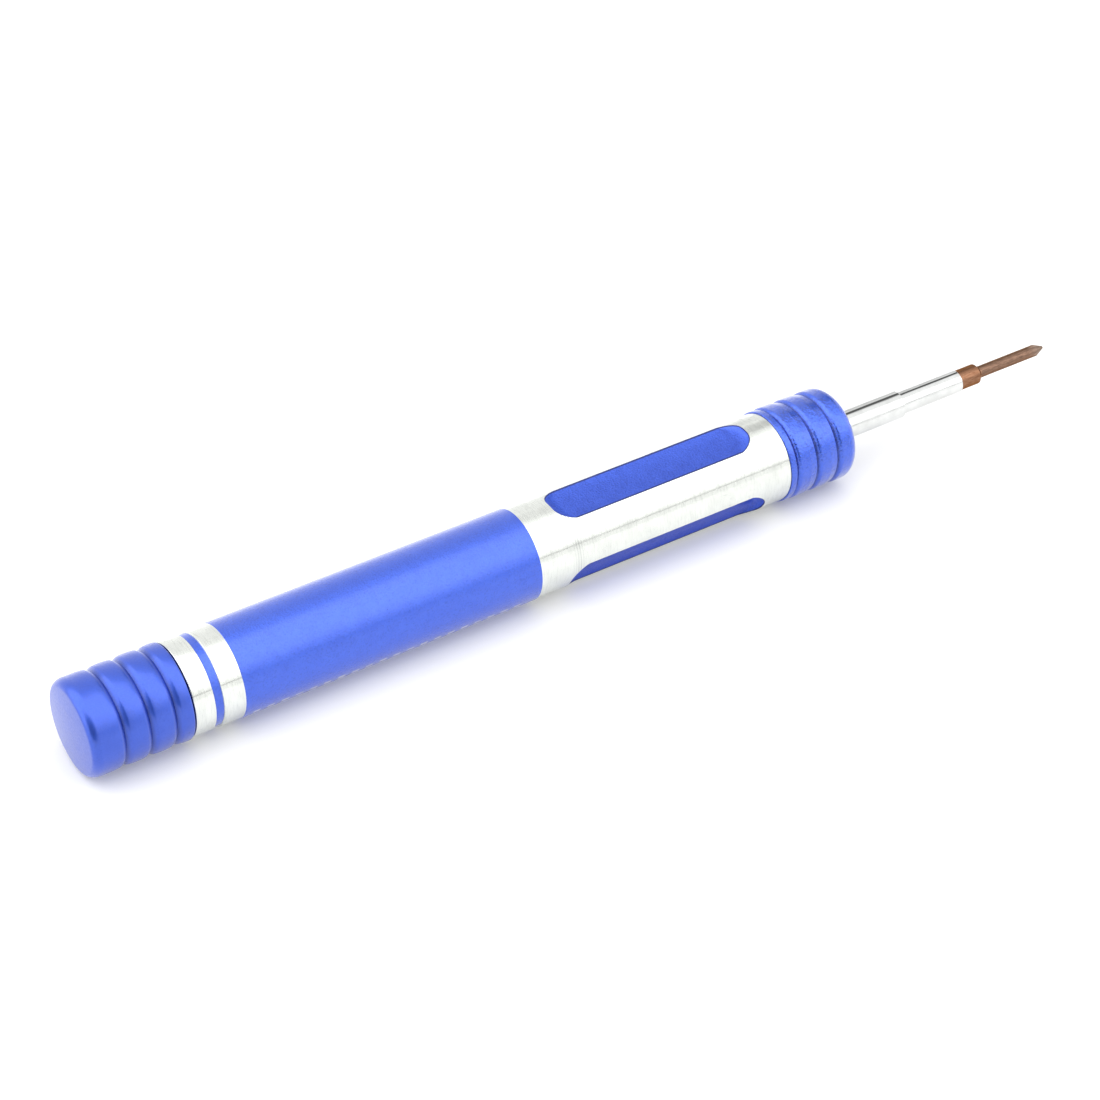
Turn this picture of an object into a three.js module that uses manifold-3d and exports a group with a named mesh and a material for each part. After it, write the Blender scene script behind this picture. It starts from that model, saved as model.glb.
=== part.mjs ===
// Watchmaker screwdriver with an aluminium handle and a free-turning end cap.
//
// Millimetres, +Z up. The tool lies on its side: its axis runs along X, the
// driver tip points to +X, and the lowest point of the nose collar is at Z = 0.
// Lengths along the tool are stations, counted from the flat end of the cap.

import * as THREE from 'three';
import { mergeVertices } from 'three/addons/utils/BufferGeometryUtils.js';
import Module from 'manifold-3d';

const wasm = await Module();
wasm.setup();

// Turned pieces
const SIDES = 32;
const FIT_GAP = 0.03;
const FACE_GAP = 0.05;
const CUT_MARGIN = 1;

// Swivel cap
const CAP_LENGTH = 13.15;
const CAP_R = 6.1;
const CAP_FIRST_GROOVE = 4.55;
const CAP_GROOVES = 3;
const CAP_GROOVE_HALF_WIDTH = 0.5;
const CAP_GROOVE_DEPTH = 0.22;
const CAP_GROOVE_STEEPNESS = 1.3;
const CAP_GROOVE_OFFSETS = [-1.45, -0.95, -0.5, -0.2, 0, 0.2, 0.5, 0.95, 1.45];
const CAP_CROWN_REACH = 1.45;
const CAP_CROWN_DROP = 0.2;
const CAP_END_ROUND = 0.95;
const CAP_EDGE = 0.15;
const GROOVE_PITCH = 3.25;
const CAP_HEAD_BORE_R = 2.8;
const CAP_HEAD_BORE_START = 6;
const CAP_DRILL_TIP = 5;

// Handle
const HANDLE_START = 13.3;
const HANDLE_R = 6;
const BAND_R = 5.96;
const BAND_1_END = 15.9;
const STRIPE_R = 5.78;
const STRIPE_END = 17;
const BAND_2_END = 19.75;
const GRIP_START = 60.65;
const GRIP_R = 5.91;
const GRIP_END = 98.3;
const HANDLE_EDGE = 0.12;
const SPIGOT_R = 4;
const SPIGOT_END = 103.3;

// Finger flats milled in the grip
const FLATS = 3;
const FIRST_FLAT_DEG = 94;
const FLAT_START = 65.2;
const FLAT_LENGTH = 29.5;
const FLAT_WIDTH = 5.7;
const FLAT_CORNER_R = 2.4;
const FLAT_DEPTH = 0.8;

// Nose collar: V grooves, with a shallow bevel behind the second and the third
const COLLAR_R = 6.17;
const COLLAR_END = 109.1;
const COLLAR_LAND_R = 6.08;
const COLLAR_FIRST_GROOVE = 99.4;
const COLLAR_GROOVES = 3;
const COLLAR_GROOVE_HALF_WIDTH = 0.26;
const COLLAR_GROOVE_DEPTH = 0.42;
const COLLAR_BEVEL_LENGTH = 1;
const COLLAR_BEVEL_DROP = 0.17;
const COLLAR_SHOULDER_LENGTH = 0.6;
const COLLAR_SHOULDER_DROP = 0.1;
const COLLAR_NOSE_ROUND = 1.5;

// Shank: an outer sleeve with the bit holder inside it
const SLEEVE_R = 1.88;
const SLEEVE_START = 80;
const SLEEVE_END = 120.1;
const HOLDER_R = 1.53;
const HOLDER_START = 96;
const HOLDER_END = 129.95;
const SLEEVE_EDGE = 0.15;
const HOLDER_EDGE = 0.05;

// Driver bit
const BIT_BODY_R = 1.37;
const BIT_BODY_START = 122.2;
const BIT_BODY_END = 133.55;
const BIT_CHAMFER = 0.35;
const BLADE_R = 0.8;
const BLADE_END = 143.5;
const TIP_END = 144.9;
const TIP_R = 0.14;
const FLUTES = 4;
const FLUTE_ROOT_R = 0.16;
const FLUTE_SLOPE_DEG = 13;
const FLUTE_HALF_ANGLE_DEG = 43;
const FLUTE_LENGTH = 6;
const FLUTE_CUT_HEIGHT = 2;

// Miniature ball bearing, 3 x 8 x 4 mm
const BEARING_BORE_R = 1.5;
const BEARING_R = 4;
const BEARING_WIDTH = 4;
const BEARING_START = 8.6;
const BALLS = 7;
const BALL_R = 0.794;
const BALL_PITCH_R = 2.75;
const RACE_R = 0.83;
const INNER_SHOULDER_R = 2.2;
const OUTER_SHOULDER_R = 3.3;
const SHIELD_SEAT_R = 3.5;
const SHIELD_SEAT_DEPTH = 0.35;
const SHIELD_BORE_R = 2.34;
const SHIELD_THICKNESS = 0.2;
const SHIELD_INSET = 0.08;
const CAGE_INNER_R = 2.42;
const CAGE_OUTER_R = 3.06;
const CAGE_WIDTH = 2.6;
const CAGE_POCKET_R = 0.9;
const CAGE_MOUTH_WIDTH = 1.3;

// Axle screw and spacer
const SCREW_TIP = 21.5;
const SCREW_EDGE = 0.3;
const SCREW_HEAD_R = 2.15;
const SCREW_HEAD_HEIGHT = 1.6;
const SCREW_SLOT_WIDTH = 0.6;
const SCREW_SLOT_DEPTH = 0.7;
const SPACER_R = 2.2;

// Steps in curved outlines
const ROUND_STEPS = 5;
const RACE_STEPS = 6;
const CORNER_STEPS = 6;
const POCKET_SIDES = 12;
const BALL_SEGMENTS = 12;
const BALL_RINGS = 8;

// Points of an outline closer than this are one point.
const SAME_POINT = 1e-4;

const BEARING_END = BEARING_START + BEARING_WIDTH;
const BEARING_MIDDLE = BEARING_START + BEARING_WIDTH / 2;
const FLAT_CORNER_SCALE = 1 / Math.cos(Math.PI / SIDES);

function finish(color, roughness, metalness) {
  return new THREE.MeshStandardMaterial({ color, roughness, metalness });
}

const finishes = {
  blueAluminium: finish(0x3f5fe0, 0.38, 0.85),
  brightAluminium: finish(0xe6e7e8, 0.25, 0.95),
  chrome: finish(0xd8dadc, 0.12, 1),
  bronzeSteel: finish(0x9a5a38, 0.35, 0.9),
  bearingSteel: finish(0xb8bcc2, 0.2, 1),
  ballSteel: finish(0xd0d4d8, 0.08, 1),
  pressedSteel: finish(0x9fa3a8, 0.3, 0.95),
  brassWasher: finish(0xb89048, 0.35, 0.9),
  blackScrew: finish(0x2c2d30, 0.45, 0.8),
};

// An arc of an outline, as [station, radius] points.
function arc(station, radius, size, fromDeg, toDeg, steps) {
  const points = [];
  for (let i = 0; i <= steps; i += 1) {
    const angle = THREE.MathUtils.degToRad(fromDeg + ((toDeg - fromDeg) * i) / steps);
    points.push([station + size * Math.cos(angle), radius + size * Math.sin(angle)]);
  }
  return points;
}

// Evenly spaced grooves, as the stations of their middles.
function grooveStations(first, count) {
  return Array.from({ length: count }, (_, i) => first + i * GROOVE_PITCH);
}

// A groove of the cap's outline: a V between two crowned ridges.
function capGroove(middle) {
  return CAP_GROOVE_OFFSETS.map((offset) => {
    const away = Math.abs(offset);
    const crown = CAP_CROWN_DROP * (1 - away / CAP_CROWN_REACH) ** 2;
    const inGroove = Math.max(0, 1 - away / CAP_GROOVE_HALF_WIDTH);
    return [middle + offset, CAP_R - crown - CAP_GROOVE_DEPTH * inGroove ** CAP_GROOVE_STEEPNESS];
  });
}

// The front wall of a collar groove, from its root up to the ring in front of it.
function collarFrontWall(groove) {
  return [
    [groove, COLLAR_R - COLLAR_GROOVE_DEPTH],
    [groove + COLLAR_GROOVE_HALF_WIDTH, COLLAR_R - COLLAR_SHOULDER_DROP],
    [groove + COLLAR_SHOULDER_LENGTH, COLLAR_R],
  ];
}

// Removes a point that repeats the one before it.
function withoutRepeats(outline) {
  return outline.filter((point, i) => {
    if (i === 0) return true;
    const before = outline[i - 1];
    return Math.hypot(point[0] - before[0], point[1] - before[1]) > SAME_POINT;
  });
}

// A turned piece: an outline of [station, radius] points revolved about the X axis.
// The middles of its flat sides lie at the outline's radius, not its corners.
function turned(outline) {
  const points = withoutRepeats(outline).map(([station, radius]) => {
    return new THREE.Vector2(radius * FLAT_CORNER_SCALE, station);
  });
  const geometry = new THREE.LatheGeometry(points, SIDES, Math.PI / SIDES);
  geometry.rotateZ(-Math.PI / 2);
  return geometry;
}

function ring(start, end, innerR, outerR) {
  return turned([[start, innerR], [start, outerR], [end, outerR], [end, innerR], [start, innerR]]);
}

function toSolid(geometry) {
  const bare = geometry.clone();
  bare.deleteAttribute('normal');
  bare.deleteAttribute('uv');
  const merged = mergeVertices(bare, SAME_POINT);
  return new wasm.Manifold(new wasm.Mesh({
    numProp: 3,
    vertProperties: new Float32Array(merged.attributes.position.array),
    triVerts: new Uint32Array(merged.index.array),
  }));
}

function toGeometry(solid) {
  const mesh = solid.getMesh();
  const geometry = new THREE.BufferGeometry();
  geometry.setAttribute('position', new THREE.BufferAttribute(mesh.vertProperties, 3));
  geometry.setIndex(new THREE.BufferAttribute(mesh.triVerts, 1));
  geometry.computeVertexNormals();
  return geometry;
}

function cut(geometry, cutters) {
  let solid = toSolid(geometry);
  for (const cutter of cutters) solid = solid.subtract(toSolid(cutter));
  return toGeometry(solid);
}

// Copies of one geometry spaced evenly about the X axis.
function around(count, firstDeg, makeGeometry) {
  return Array.from({ length: count }, (_, i) => {
    const angle = THREE.MathUtils.degToRad(firstDeg + (360 * i) / count);
    return makeGeometry().rotateX(angle);
  });
}

function swivelCap() {
  const outline = [[0, 0]];
  const roundCentreR = CAP_R - CAP_END_ROUND;
  outline.push(...arc(CAP_END_ROUND, roundCentreR, CAP_END_ROUND, 180, 90, ROUND_STEPS));
  for (const groove of grooveStations(CAP_FIRST_GROOVE, CAP_GROOVES)) outline.push(...capGroove(groove));
  outline.push([CAP_LENGTH - CAP_EDGE, CAP_R], [CAP_LENGTH, CAP_R - CAP_EDGE]);
  const seat = BEARING_START - FACE_GAP;
  outline.push([CAP_LENGTH, BEARING_R + FIT_GAP], [seat, BEARING_R + FIT_GAP]);
  outline.push([seat, CAP_HEAD_BORE_R], [CAP_HEAD_BORE_START, CAP_HEAD_BORE_R]);
  outline.push([CAP_DRILL_TIP, 0]);
  return turned(outline);
}

function fingerFlatCutter() {
  const halfWidth = FLAT_WIDTH / 2;
  const end = FLAT_START + FLAT_LENGTH;
  const left = FLAT_START + FLAT_CORNER_R;
  const right = end - FLAT_CORNER_R;
  const side = halfWidth - FLAT_CORNER_R;
  const shape = new THREE.Shape();
  shape.absarc(right, -side, FLAT_CORNER_R, -Math.PI / 2, 0);
  shape.absarc(right, side, FLAT_CORNER_R, 0, Math.PI / 2);
  shape.absarc(left, side, FLAT_CORNER_R, Math.PI / 2, Math.PI);
  shape.absarc(left, -side, FLAT_CORNER_R, Math.PI, 1.5 * Math.PI);
  shape.closePath();
  const options = { depth: FLAT_DEPTH + CUT_MARGIN, bevelEnabled: false, curveSegments: CORNER_STEPS };
  const geometry = new THREE.ExtrudeGeometry(shape, options);
  geometry.translate(0, 0, GRIP_R - FLAT_DEPTH);
  return geometry;
}

function handleBody() {
  const axleHole = BEARING_BORE_R + FIT_GAP;
  const shankHole = SLEEVE_R + FIT_GAP;
  const outline = [
    [SCREW_TIP + axleHole, 0],
    [SCREW_TIP + FACE_GAP, axleHole],
    [HANDLE_START, axleHole],
    [HANDLE_START, BAND_R - HANDLE_EDGE],
    [HANDLE_START + HANDLE_EDGE, BAND_R],
    [BAND_1_END, BAND_R],
    [BAND_1_END + HANDLE_EDGE, STRIPE_R],
    [STRIPE_END - HANDLE_EDGE, STRIPE_R],
    [STRIPE_END, BAND_R],
    [BAND_2_END, BAND_R],
    [BAND_2_END, HANDLE_R],
    [GRIP_START, HANDLE_R],
    [GRIP_START, GRIP_R],
    [GRIP_END, GRIP_R],
    [GRIP_END, SPIGOT_R],
    [SPIGOT_END, SPIGOT_R],
    [SPIGOT_END, shankHole],
    [SLEEVE_START - FACE_GAP, shankHole],
    [SLEEVE_START - shankHole, 0],
  ];
  const fromTopDeg = FIRST_FLAT_DEG - 90;
  return cut(turned(outline), around(FLATS, fromTopDeg, fingerFlatCutter));
}

function noseCollar() {
  const start = GRIP_END + FACE_GAP;
  const [firstGroove, ...bevelledGrooves] = grooveStations(COLLAR_FIRST_GROOVE, COLLAR_GROOVES);
  const outline = [
    [start, SPIGOT_R + FIT_GAP],
    [start, COLLAR_LAND_R],
    [firstGroove - COLLAR_GROOVE_HALF_WIDTH, COLLAR_LAND_R],
    ...collarFrontWall(firstGroove),
  ];
  for (const groove of bevelledGrooves) {
    const bevelEnd = groove - COLLAR_GROOVE_HALF_WIDTH;
    outline.push([bevelEnd - COLLAR_BEVEL_LENGTH, COLLAR_R], [bevelEnd, COLLAR_R - COLLAR_BEVEL_DROP]);
    outline.push(...collarFrontWall(groove));
  }
  const roundStart = COLLAR_END - COLLAR_NOSE_ROUND;
  const roundCentreR = COLLAR_R - COLLAR_NOSE_ROUND;
  outline.push(...arc(roundStart, roundCentreR, COLLAR_NOSE_ROUND, 90, 0, ROUND_STEPS));
  const web = SPIGOT_END + FACE_GAP;
  outline.push([COLLAR_END, SLEEVE_R + FIT_GAP], [web, SLEEVE_R + FIT_GAP]);
  outline.push([web, SPIGOT_R + FIT_GAP], [start, SPIGOT_R + FIT_GAP]);
  return turned(outline);
}

function shankSleeve() {
  const bore = HOLDER_R + FIT_GAP;
  return turned([
    [SLEEVE_START, 0],
    [SLEEVE_START, SLEEVE_R],
    [SLEEVE_END - SLEEVE_EDGE, SLEEVE_R],
    [SLEEVE_END, SLEEVE_R - SLEEVE_EDGE],
    [SLEEVE_END, bore],
    [HOLDER_START - FACE_GAP, bore],
    [HOLDER_START - bore, 0],
  ]);
}

function bitHolder() {
  const bore = BIT_BODY_R + FIT_GAP;
  return turned([
    [HOLDER_START, 0],
    [HOLDER_START, HOLDER_R],
    [HOLDER_END - HOLDER_EDGE, HOLDER_R],
    [HOLDER_END, HOLDER_R - HOLDER_EDGE],
    [HOLDER_END, bore],
    [BIT_BODY_START - FACE_GAP, bore],
    [BIT_BODY_START - bore, 0],
  ]);
}

// A long V-shaped cutter whose root line climbs from the tip back to the blade's surface.
function fluteCutter() {
  const halfAngle = THREE.MathUtils.degToRad(FLUTE_HALF_ANGLE_DEG);
  const shape = new THREE.Shape();
  const halfWidth = FLUTE_CUT_HEIGHT * Math.tan(halfAngle);
  shape.moveTo(0, 0);
  shape.lineTo(halfWidth, FLUTE_CUT_HEIGHT);
  shape.lineTo(-halfWidth, FLUTE_CUT_HEIGHT);
  shape.closePath();
  const geometry = new THREE.ExtrudeGeometry(shape, { depth: FLUTE_LENGTH, bevelEnabled: false });
  geometry.rotateY(-Math.PI / 2);
  geometry.translate(CUT_MARGIN, 0, 0);
  geometry.rotateZ(-THREE.MathUtils.degToRad(FLUTE_SLOPE_DEG));
  geometry.translate(TIP_END, FLUTE_ROOT_R, 0);
  return geometry;
}

function driverBit() {
  const blank = turned([
    [BIT_BODY_START, 0],
    [BIT_BODY_START, BIT_BODY_R],
    [BIT_BODY_END - BIT_CHAMFER, BIT_BODY_R],
    [BIT_BODY_END, BIT_BODY_R - BIT_CHAMFER],
    [BIT_BODY_END, BLADE_R],
    [BLADE_END, BLADE_R],
    [TIP_END, TIP_R],
    [TIP_END, 0],
  ]);
  return cut(blank, around(FLUTES, 0, fluteCutter));
}

function axleScrew() {
  const headEnd = BEARING_START - FIT_GAP;
  const headStart = headEnd - SCREW_HEAD_HEIGHT;
  const blank = turned([
    [headStart, 0],
    [headStart, SCREW_HEAD_R - SCREW_EDGE],
    [headStart + SCREW_EDGE, SCREW_HEAD_R],
    [headEnd, SCREW_HEAD_R],
    [headEnd, BEARING_BORE_R],
    [SCREW_TIP - SCREW_EDGE, BEARING_BORE_R],
    [SCREW_TIP, BEARING_BORE_R - SCREW_EDGE],
    [SCREW_TIP, 0],
  ]);
  const slotLength = 2 * (SCREW_HEAD_R + CUT_MARGIN);
  const slot = new THREE.BoxGeometry(SCREW_SLOT_DEPTH * 2, slotLength, SCREW_SLOT_WIDTH);
  slot.translate(headStart, 0, 0);
  return cut(blank, [slot]);
}

function axleSpacer() {
  const start = BEARING_END + FIT_GAP;
  return ring(start, HANDLE_START - FIT_GAP, BEARING_BORE_R + FIT_GAP, SPACER_R);
}

function bearingOuterRing() {
  const rise = THREE.MathUtils.radToDeg(Math.acos((OUTER_SHOULDER_R - BALL_PITCH_R) / RACE_R));
  const outline = [
    [BEARING_START, BEARING_R],
    [BEARING_END, BEARING_R],
    [BEARING_END, SHIELD_SEAT_R],
    [BEARING_END - SHIELD_SEAT_DEPTH, SHIELD_SEAT_R],
    [BEARING_END - SHIELD_SEAT_DEPTH, OUTER_SHOULDER_R],
  ];
  outline.push(...arc(BEARING_MIDDLE, BALL_PITCH_R, RACE_R, 90 - rise, 90 + rise, RACE_STEPS));
  outline.push([BEARING_START + SHIELD_SEAT_DEPTH, OUTER_SHOULDER_R]);
  outline.push([BEARING_START + SHIELD_SEAT_DEPTH, SHIELD_SEAT_R]);
  outline.push([BEARING_START, SHIELD_SEAT_R], [BEARING_START, BEARING_R]);
  return turned(outline);
}

function bearingInnerRing() {
  const bore = BEARING_BORE_R + FIT_GAP;
  const drop = THREE.MathUtils.radToDeg(Math.acos((BALL_PITCH_R - INNER_SHOULDER_R) / RACE_R));
  const outline = [[BEARING_START, bore], [BEARING_START, INNER_SHOULDER_R]];
  outline.push(...arc(BEARING_MIDDLE, BALL_PITCH_R, RACE_R, 270 - drop, 270 + drop, RACE_STEPS));
  outline.push([BEARING_END, INNER_SHOULDER_R], [BEARING_END, bore], [BEARING_START, bore]);
  return turned(outline);
}

function bearingShield(start) {
  return ring(start, start + SHIELD_THICKNESS, SHIELD_BORE_R, SHIELD_SEAT_R - FIT_GAP);
}

function ballCage() {
  const start = BEARING_MIDDLE - CAGE_WIDTH / 2;
  const blank = ring(start, start + CAGE_WIDTH, CAGE_INNER_R, CAGE_OUTER_R);
  const pockets = around(BALLS, 0, () => {
    const hole = new THREE.CylinderGeometry(CAGE_POCKET_R, CAGE_POCKET_R, BALL_PITCH_R, POCKET_SIDES);
    return hole.translate(BEARING_MIDDLE, BALL_PITCH_R, 0);
  });
  const mouths = around(BALLS, 0, () => {
    const mouth = new THREE.BoxGeometry(CAGE_WIDTH, BALL_PITCH_R, CAGE_MOUTH_WIDTH);
    return mouth.translate(BEARING_MIDDLE + CAGE_WIDTH / 2, BALL_PITCH_R, 0);
  });
  return cut(blank, [...pockets, ...mouths]);
}

const tool = new THREE.Group();
tool.position.set(-TIP_END / 2, 0, COLLAR_R);

function add(name, geometry, material) {
  const mesh = new THREE.Mesh(geometry, material);
  mesh.name = name;
  tool.add(mesh);
  return mesh;
}

add('handle_body', handleBody(), finishes.blueAluminium);
add('nose_collar', noseCollar(), finishes.blueAluminium);
add('shank_sleeve', shankSleeve(), finishes.chrome);
add('bit_holder', bitHolder(), finishes.chrome);
add('driver_bit', driverBit(), finishes.bronzeSteel);
add('swivel_cap', swivelCap(), finishes.blueAluminium);
add('axle_screw', axleScrew(), finishes.blackScrew);
add('axle_spacer', axleSpacer(), finishes.brassWasher);
add('bearing_outer_ring', bearingOuterRing(), finishes.bearingSteel);
add('bearing_inner_ring', bearingInnerRing(), finishes.bearingSteel);
add('bearing_shield_rear', bearingShield(BEARING_START + SHIELD_INSET), finishes.pressedSteel);
const frontShieldStart = BEARING_END - SHIELD_INSET - SHIELD_THICKNESS;
add('bearing_shield_front', bearingShield(frontShieldStart), finishes.pressedSteel);
add('ball_cage', ballCage(), finishes.pressedSteel);
for (let i = 0; i < BALLS; i += 1) {
  const angle = (2 * Math.PI * i) / BALLS;
  const sphere = new THREE.SphereGeometry(BALL_R, BALL_SEGMENTS, BALL_RINGS);
  const ball = add(`bearing_ball_${i + 1}`, sphere, finishes.ballSteel);
  ball.position.set(BEARING_MIDDLE, BALL_PITCH_R * Math.cos(angle), BALL_PITCH_R * Math.sin(angle));
}

const screwdriver = new THREE.Group();
screwdriver.add(tool);

export default screwdriver;
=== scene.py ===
"""Watchmaker screwdriver: looks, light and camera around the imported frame.

Metres, +X towards the driver tip, +Z up. Lengths along the tool are stations in
millimetres, counted from the flat end of the swivel cap, as the tool was turned.
"""

import math

import bmesh
import bpy
from mathutils import Matrix, Vector


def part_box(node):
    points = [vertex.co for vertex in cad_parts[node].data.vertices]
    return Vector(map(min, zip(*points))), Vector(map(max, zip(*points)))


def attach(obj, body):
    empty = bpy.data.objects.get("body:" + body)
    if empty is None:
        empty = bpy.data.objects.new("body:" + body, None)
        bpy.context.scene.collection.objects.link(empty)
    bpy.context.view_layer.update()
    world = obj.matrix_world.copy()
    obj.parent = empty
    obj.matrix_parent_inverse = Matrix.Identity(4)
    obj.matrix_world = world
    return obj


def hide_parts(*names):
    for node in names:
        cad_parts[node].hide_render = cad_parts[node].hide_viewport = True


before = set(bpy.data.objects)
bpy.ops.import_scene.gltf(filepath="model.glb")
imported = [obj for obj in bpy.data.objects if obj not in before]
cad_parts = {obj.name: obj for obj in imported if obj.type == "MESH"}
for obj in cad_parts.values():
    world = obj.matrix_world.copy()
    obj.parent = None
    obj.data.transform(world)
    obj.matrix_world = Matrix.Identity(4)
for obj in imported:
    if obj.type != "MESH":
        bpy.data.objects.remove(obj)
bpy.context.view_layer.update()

MM = 0.001
SIDES = 192
TUBE_SIDES = 96
SMALL_SIDES = 64
SHARP_DEG = 28
SAME_POINT_MM = 1e-5
WELD_DISTANCE = 1e-8
SLIVER_SIZE = 2e-6

COLLAR_LOW, COLLAR_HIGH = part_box("nose_collar")
REAR_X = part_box("swivel_cap")[0].x
AXIS_Z = (COLLAR_LOW.z + COLLAR_HIGH.z) / 2


def station_of(x):
    return (x - REAR_X) / MM


def ends(node):
    low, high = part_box(node)
    return station_of(low.x), station_of(high.x)


def radius_of(node):
    low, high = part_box(node)
    return (high.y - low.y) / 2 / MM


# ---------------------------------------------------------------- outlines

def arc(station, radius, size, from_deg, to_deg, steps):
    """Points of an arc in an outline, as (station, radius)."""
    points = []
    for i in range(steps + 1):
        angle = math.radians(from_deg + (to_deg - from_deg) * i / steps)
        points.append((station + size * math.cos(angle), radius + size * math.sin(angle)))
    return points


def box_outline(start, end, inner, outer, edge):
    """The closed outline of a plain ring with rounded outer edges."""
    outline = [(start, inner)]
    outline += arc(start + edge, outer - edge, edge, 180, 90, 4)
    outline += arc(end - edge, outer - edge, edge, 90, 0, 4)
    return outline + [(end, inner)]


def without_repeats(outline):
    """The outline without a point that falls on the one before it."""
    kept = []
    for point in outline:
        if not kept or math.dist(point, kept[-1]) > SAME_POINT_MM:
            kept.append(point)
    return kept


# ---------------------------------------------------------------- mesh making

def link(name, mesh_data):
    piece = bpy.data.objects.new(name, mesh_data)
    bpy.context.scene.collection.objects.link(piece)
    return piece


def finish_mesh(bm, name):
    """A mesh with its faces outward and smooth, and crisp edges where it turns sharply."""
    bmesh.ops.remove_doubles(bm, verts=bm.verts, dist=WELD_DISTANCE)
    bmesh.ops.recalc_face_normals(bm, faces=bm.faces)
    mesh_data = bpy.data.meshes.new(name)
    bm.to_mesh(mesh_data)
    bm.free()
    smooth_by_angle(mesh_data)
    return mesh_data


def smooth_by_angle(mesh_data):
    """Splits many-sided faces, takes slivers out, and smooths all but the sharp edges."""
    bm = bmesh.new()
    bm.from_mesh(mesh_data)
    bmesh.ops.triangulate(bm, faces=[face for face in bm.faces if len(face.verts) > 4])
    bmesh.ops.dissolve_degenerate(bm, dist=SLIVER_SIZE, edges=bm.edges)
    for face in bm.faces:
        face.smooth = True
    for edge in bm.edges:
        edge.smooth = not edge.is_manifold or edge.calc_face_angle(0) < math.radians(SHARP_DEG)
    bm.to_mesh(mesh_data)
    bm.free()


def turned(name, outline, sides=SIDES, closed=False, zone=None):
    """A piece turned about the tool's axis from an outline of (station, radius) points.
    zone(station, radius) gives the material slot number of each ring of faces."""
    outline = without_repeats(outline)
    if closed and math.dist(outline[0], outline[-1]) < SAME_POINT_MM:
        outline.pop()
    bm = bmesh.new()
    rings = []
    for station, radius in outline:
        x = REAR_X + station * MM
        if radius < SAME_POINT_MM:
            rings.append([bm.verts.new((x, 0, AXIS_Z))])
            continue
        ring = []
        for i in range(sides):
            angle = 2 * math.pi * i / sides
            y = radius * MM * math.cos(angle)
            z = AXIS_Z + radius * MM * math.sin(angle)
            ring.append(bm.verts.new((x, y, z)))
        rings.append(ring)
    pairs = list(zip(range(len(rings) - 1), range(1, len(rings))))
    if closed:
        pairs.append((len(rings) - 1, 0))
    for a, b in pairs:
        station = (outline[a][0] + outline[b][0]) / 2
        radius = (outline[a][1] + outline[b][1]) / 2
        for i in range(sides):
            j = (i + 1) % sides
            corners = [rings[a][i % len(rings[a])], rings[a][j % len(rings[a])]]
            corners += [rings[b][j % len(rings[b])], rings[b][i % len(rings[b])]]
            corners = list(dict.fromkeys(corners))
            if len(corners) > 2:
                face = bm.faces.new(corners)
                face.material_index = zone(station, radius) if zone else 0
    return link(name, finish_mesh(bm, name))


def cut(piece, cutters):
    """Cuts the cutters out of the piece. The cut faces keep the cutters' materials."""
    for cutter in cutters:
        modifier = piece.modifiers.new("cut", "BOOLEAN")
        modifier.operation = "DIFFERENCE"
        modifier.solver = "EXACT"
        modifier.material_mode = "TRANSFER"
        modifier.object = cutter
    bpy.context.view_layer.update()
    graph = bpy.context.evaluated_depsgraph_get()
    mesh_data = bpy.data.meshes.new_from_object(piece.evaluated_get(graph), depsgraph=graph)
    piece.modifiers.clear()
    piece.data = mesh_data
    for cutter in cutters:
        bpy.data.objects.remove(cutter)
    smooth_by_angle(mesh_data)
    return piece


# ---------------------------------------------------------------- sizes, in millimetres

GROOVE_PITCH = 3.25
EDGE = 0.1
SEAT_GAP = 0.05
FIT_GAP = 0.03
CUTTER_OVERSHOOT = 1

CAP_END = ends("swivel_cap")[1]
CAP_R = radius_of("swivel_cap")
CAP_FIRST_GROOVE = 4.55
CAP_GROOVES = 3
CAP_LAST_GROOVE = CAP_FIRST_GROOVE + (CAP_GROOVES - 1) * GROOVE_PITCH
CAP_GROOVE_HALF_WIDTH = 0.62
CAP_GROOVE_DEPTH = 0.27
CAP_GROOVE_STEEPNESS = 1.3
CAP_CROWN_REACH = 1.5
CAP_CROWN_DROP = 0.19
CAP_ROUND_LENGTH = 1.25
CAP_ROUND_HEIGHT = 0.85
CAP_ROUND_END = 1.5
CAP_DOME_EDGE_DEG = 85
CAP_OPEN_EDGE = 0.25
CAP_HOLLOW_R = 2.8
CAP_HOLLOW_START = 6
CAP_HOLLOW_POINT = 5

BEARING_START, BEARING_END = ends("bearing_outer_ring")
BEARING_MIDDLE = (BEARING_START + BEARING_END) / 2
BEARING_R = radius_of("bearing_outer_ring")
BALLS = 7
BALL_R = radius_of("bearing_ball_1")
BALL_PITCH_R = 2.75
RACE_R = 0.83
INNER_SHOULDER_R = radius_of("bearing_inner_ring")
OUTER_SHOULDER_R = 3.3
SHIELD_SEAT_R = 3.5
SHIELD_SEAT_DEPTH = 0.35
SHIELD_BORE_R = 2.34
SHIELD_EDGE = 0.05
RACE_EDGE = 0.12
CAGE_INNER_R = 2.42
CAGE_OUTER_R = radius_of("ball_cage")
CAGE_POCKET_R = 0.9
CAGE_MOUTH_WIDTH = 1.3
CAGE_EDGE = 0.08

AXLE_HOLE_R = 1.53
SCREW_START, SCREW_TIP = ends("axle_screw")
SCREW_HEAD_R = radius_of("axle_screw")
SCREW_R = 1.5
SCREW_HEAD_END = BEARING_START - FIT_GAP
SCREW_SLOT_WIDTH = 0.6
SCREW_SLOT_DEPTH = 0.7
SCREW_EDGE = 0.3
THREAD_START = 14.2
THREAD_END = SCREW_TIP - SCREW_EDGE - 0.01
THREAD_PITCH = 0.5
THREAD_FLANK = 0.2
THREAD_ROOT_WIDTH = 0.1
THREAD_DEPTH = 0.28
SPACER_EDGE = 0.06

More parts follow.
